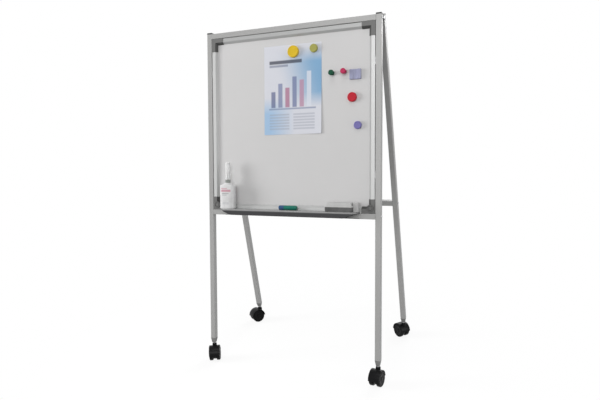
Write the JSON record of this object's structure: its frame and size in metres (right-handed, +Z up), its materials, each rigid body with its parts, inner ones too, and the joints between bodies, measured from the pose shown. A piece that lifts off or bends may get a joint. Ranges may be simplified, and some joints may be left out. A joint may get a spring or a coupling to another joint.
{
  "type": "mobile whiteboard easel",
  "caption": "Folding A-frame easel of square aluminium tube on swivel castors, with a framed magnetic whiteboard, a pen tray, magnets, marker, eraser and spray bottle",
  "frame": {"origin": "On the floor, in the middle of the box of the whole easel as it stands open", "axes": "+Z up, -Y towards the reader of the board, +X to the reader's right, parallel to the rails"},
  "size_m": [0.6804, 0.4448, 1.1642],
  "materials": {
    "tube_aluminium": "satin clear anodised",
    "rim_aluminium": "satin clear anodised, rounded",
    "black_plastic": "fine moulded texture",
    "grey_plastic": "moulded",
    "dark_grey_plastic": "moulded",
    "tray_plastic": "moulded",
    "steel": "zinc plated",
    "board_enamel": "gloss white lacquer on steel",
    "core_board": "fibreboard",
    "paper": "uncoated paper with a pale printed block pattern",
    "castor_plastic": "moulded nylon",
    "wheel_rubber": "smooth tread",
    "yellow_plastic": "moulded",
    "olive_plastic": "moulded",
    "red_plastic": "moulded",
    "violet_plastic": "moulded",
    "green_plastic": "moulded",
    "pink_plastic": "moulded",
    "lavender_plastic": "moulded",
    "marker_green": "moulded",
    "marker_blue": "moulded",
    "eraser_plastic": "moulded",
    "felt": "dense felt",
    "bottle_plastic": "moulded, pale",
    "white_plastic": "moulded",
    "clear_plastic": "clear"
  },
  "bodies": {
    "stand_front": {"left_upright": "tube_aluminium", "right_upright": "tube_aluminium", "top_rail": "tube_aluminium", "bottom_rail": "tube_aluminium", "front_rail_inserts": "black_plastic", "front_screws": "steel", "front_hinge_caps": "black_plastic", "front_leg_plugs": "grey_plastic", "front_castor_stems": "steel", "writing_surface": "board_enamel", "board_core": "core_board", "board_back_sheet": "steel", "rim_top": "rim_aluminium", "rim_bottom": "rim_aluminium", "rim_left": "rim_aluminium", "rim_right": "rim_aluminium", "rim_corner_caps": "dark_grey_plastic", "board_brackets": "steel", "pen_tray": "tray_plastic", "paper_sheet": "paper", "hinge_pins": "steel"},
    "stand_rear": {"rear_left_leg": "tube_aluminium", "rear_right_leg": "tube_aluminium", "rear_top_rail": "tube_aluminium", "rear_crossbar": "tube_aluminium", "rear_rail_inserts": "black_plastic", "rear_screws": "steel", "rear_hinge_caps": "black_plastic", "rear_leg_plugs": "grey_plastic", "rear_castor_stems": "steel"},
    "castor_fl": {"castor_fl_yoke": "castor_plastic", "castor_fl_axle": "steel"},
    "castor_fl_wheel_a": {"castor_fl_wheel_a": "wheel_rubber"},
    "castor_fl_wheel_b": {"castor_fl_wheel_b": "wheel_rubber"},
    "castor_fr": {"castor_fr_yoke": "castor_plastic", "castor_fr_axle": "steel"},
    "castor_fr_wheel_a": {"castor_fr_wheel_a": "wheel_rubber"},
    "castor_fr_wheel_b": {"castor_fr_wheel_b": "wheel_rubber"},
    "castor_rl": {"castor_rl_yoke": "castor_plastic", "castor_rl_axle": "steel"},
    "castor_rl_wheel_a": {"castor_rl_wheel_a": "wheel_rubber"},
    "castor_rl_wheel_b": {"castor_rl_wheel_b": "wheel_rubber"},
    "castor_rr": {"castor_rr_yoke": "castor_plastic", "castor_rr_axle": "steel"},
    "castor_rr_wheel_a": {"castor_rr_wheel_a": "wheel_rubber"},
    "castor_rr_wheel_b": {"castor_rr_wheel_b": "wheel_rubber"},
    "yellow_magnet": {"magnet_yellow_large": "yellow_plastic"},
    "small_magnet": {"magnet_yellow_small": "olive_plastic"},
    "red_magnet": {"magnet_red": "red_plastic"},
    "violet_magnet": {"magnet_violet": "violet_plastic"},
    "green_pin": {"pin_magnet_green": "green_plastic"},
    "pink_pin": {"pin_magnet_pink": "pink_plastic"},
    "block_magnet": {"magnet_block": "lavender_plastic"},
    "marker": {"marker_barrel": "marker_green"},
    "marker_lid": {"marker_cap": "marker_blue"},
    "eraser": {"eraser_grip": "eraser_plastic", "eraser_felt": "felt"},
    "bottle": {"spray_bottle": "bottle_plastic"},
    "pump": {"spray_pump": "white_plastic"},
    "bottle_lid": {"spray_cap": "clear_plastic"}
  },
  "joints": [
    {"name": "frame_fold", "type": "hinge", "parent": "stand_front", "child": "stand_rear", "pos_m": [0.00915, 0.00277, 1.1498], "axis": [1, 0, 0], "range_deg": [-12.5, 0]},
    {"name": "castor_fl_swivel", "type": "hinge", "parent": "stand_front", "child": "castor_fl", "pos_m": [-0.29935, -0.17563, 0.045], "axis": [0, 0, 1], "continuous": true},
    {"name": "castor_fl_wheel_a_spin", "type": "hinge", "parent": "castor_fl", "child": "castor_fl_wheel_a", "pos_m": [-0.30404, -0.19429, 0.025], "axis": [0.891, 0.454, 0], "continuous": true},
    {"name": "castor_fl_wheel_b_spin", "type": "hinge", "parent": "castor_fl", "child": "castor_fl_wheel_b", "pos_m": [-0.28149, -0.18281, 0.025], "axis": [0.891, 0.454, 0], "continuous": true},
    {"name": "castor_fr_swivel", "type": "hinge", "parent": "stand_front", "child": "castor_fr", "pos_m": [0.31765, -0.17563, 0.045], "axis": [0, 0, 1], "continuous": true},
    {"name": "castor_fr_wheel_a_spin", "type": "hinge", "parent": "castor_fr", "child": "castor_fr_wheel_a", "pos_m": [0.30333, -0.18848, 0.025], "axis": [0.9925, -0.1219, 0], "continuous": true},
    {"name": "castor_fr_wheel_b_spin", "type": "hinge", "parent": "castor_fr", "child": "castor_fr_wheel_b", "pos_m": [0.32844, -0.19156, 0.025], "axis": [0.9925, -0.1219, 0], "continuous": true},
    {"name": "castor_rl_swivel", "type": "hinge", "parent": "stand_rear", "child": "castor_rl", "pos_m": [-0.29935, 0.18116, 0.045], "axis": [0, 0, 1], "continuous": true},
    {"name": "castor_rl_wheel_a_spin", "type": "hinge", "parent": "castor_rl", "child": "castor_rl_wheel_a", "pos_m": [-0.31818, 0.1772, 0.025], "axis": [0.7986, -0.6018, 0], "continuous": true},
    {"name": "castor_rl_wheel_b_spin", "type": "hinge", "parent": "castor_rl", "child": "castor_rl_wheel_b", "pos_m": [-0.29797, 0.16197, 0.025], "axis": [0.7986, -0.6018, 0], "continuous": true},
    {"name": "castor_rr_swivel", "type": "hinge", "parent": "stand_rear", "child": "castor_rr", "pos_m": [0.31765, 0.18116, 0.045], "axis": [0, 0, 1], "continuous": true},
    {"name": "castor_rr_wheel_a_spin", "type": "hinge", "parent": "castor_rr", "child": "castor_rr_wheel_a", "pos_m": [0.31401, 0.20006, 0.025], "axis": [-0.6157, -0.788, 0], "continuous": true},
    {"name": "castor_rr_wheel_b_spin", "type": "hinge", "parent": "castor_rr", "child": "castor_rr_wheel_b", "pos_m": [0.29844, 0.18012, 0.025], "axis": [-0.6157, -0.788, 0], "continuous": true},
    {"name": "yellow_magnet_pull", "type": "slide", "parent": "stand_front", "child": "yellow_magnet", "axis": [0, -0.9893, 0.1461], "range_m": [0, 0.03]},
    {"name": "small_magnet_pull", "type": "slide", "parent": "stand_front", "child": "small_magnet", "axis": [0, -0.9893, 0.1461], "range_m": [0, 0.03]},
    {"name": "red_magnet_pull", "type": "slide", "parent": "stand_front", "child": "red_magnet", "axis": [0, -0.9893, 0.1461], "range_m": [0, 0.03]},
    {"name": "violet_magnet_pull", "type": "slide", "parent": "stand_front", "child": "violet_magnet", "axis": [0, -0.9893, 0.1461], "range_m": [0, 0.03]},
    {"name": "green_pin_pull", "type": "slide", "parent": "stand_front", "child": "green_pin", "axis": [0, -0.9893, 0.1461], "range_m": [0, 0.03]},
    {"name": "pink_pin_pull", "type": "slide", "parent": "stand_front", "child": "pink_pin", "axis": [0, -0.9893, 0.1461], "range_m": [0, 0.03]},
    {"name": "block_magnet_pull", "type": "slide", "parent": "stand_front", "child": "block_magnet", "axis": [0, -0.9893, 0.1461], "range_m": [0, 0.03]},
    {"name": "marker_lift", "type": "slide", "parent": "stand_front", "child": "marker", "axis": [0, 0.1461, 0.9893], "range_m": [0, 0.06]},
    {"name": "marker_cap_pull", "type": "slide", "parent": "marker", "child": "marker_lid", "axis": [-1, 0, 0], "range_m": [0, 0.025]},
    {"name": "eraser_lift", "type": "slide", "parent": "stand_front", "child": "eraser", "axis": [0, 0.1461, 0.9893], "range_m": [0, 0.06]},
    {"name": "bottle_lift", "type": "slide", "parent": "stand_front", "child": "bottle", "axis": [0, 0.1461, 0.9893], "range_m": [0, 0.08]},
    {"name": "pump_press", "type": "slide", "parent": "bottle", "child": "pump", "axis": [0, -0.1461, -0.9893], "range_m": [0, 0.004], "stiffness_N_per_m": 400, "springref_m": -0.003},
    {"name": "bottle_cap_pull", "type": "slide", "parent": "bottle", "child": "bottle_lid", "axis": [0, 0.1461, 0.9893], "range_m": [0, 0.065]}
  ]
}
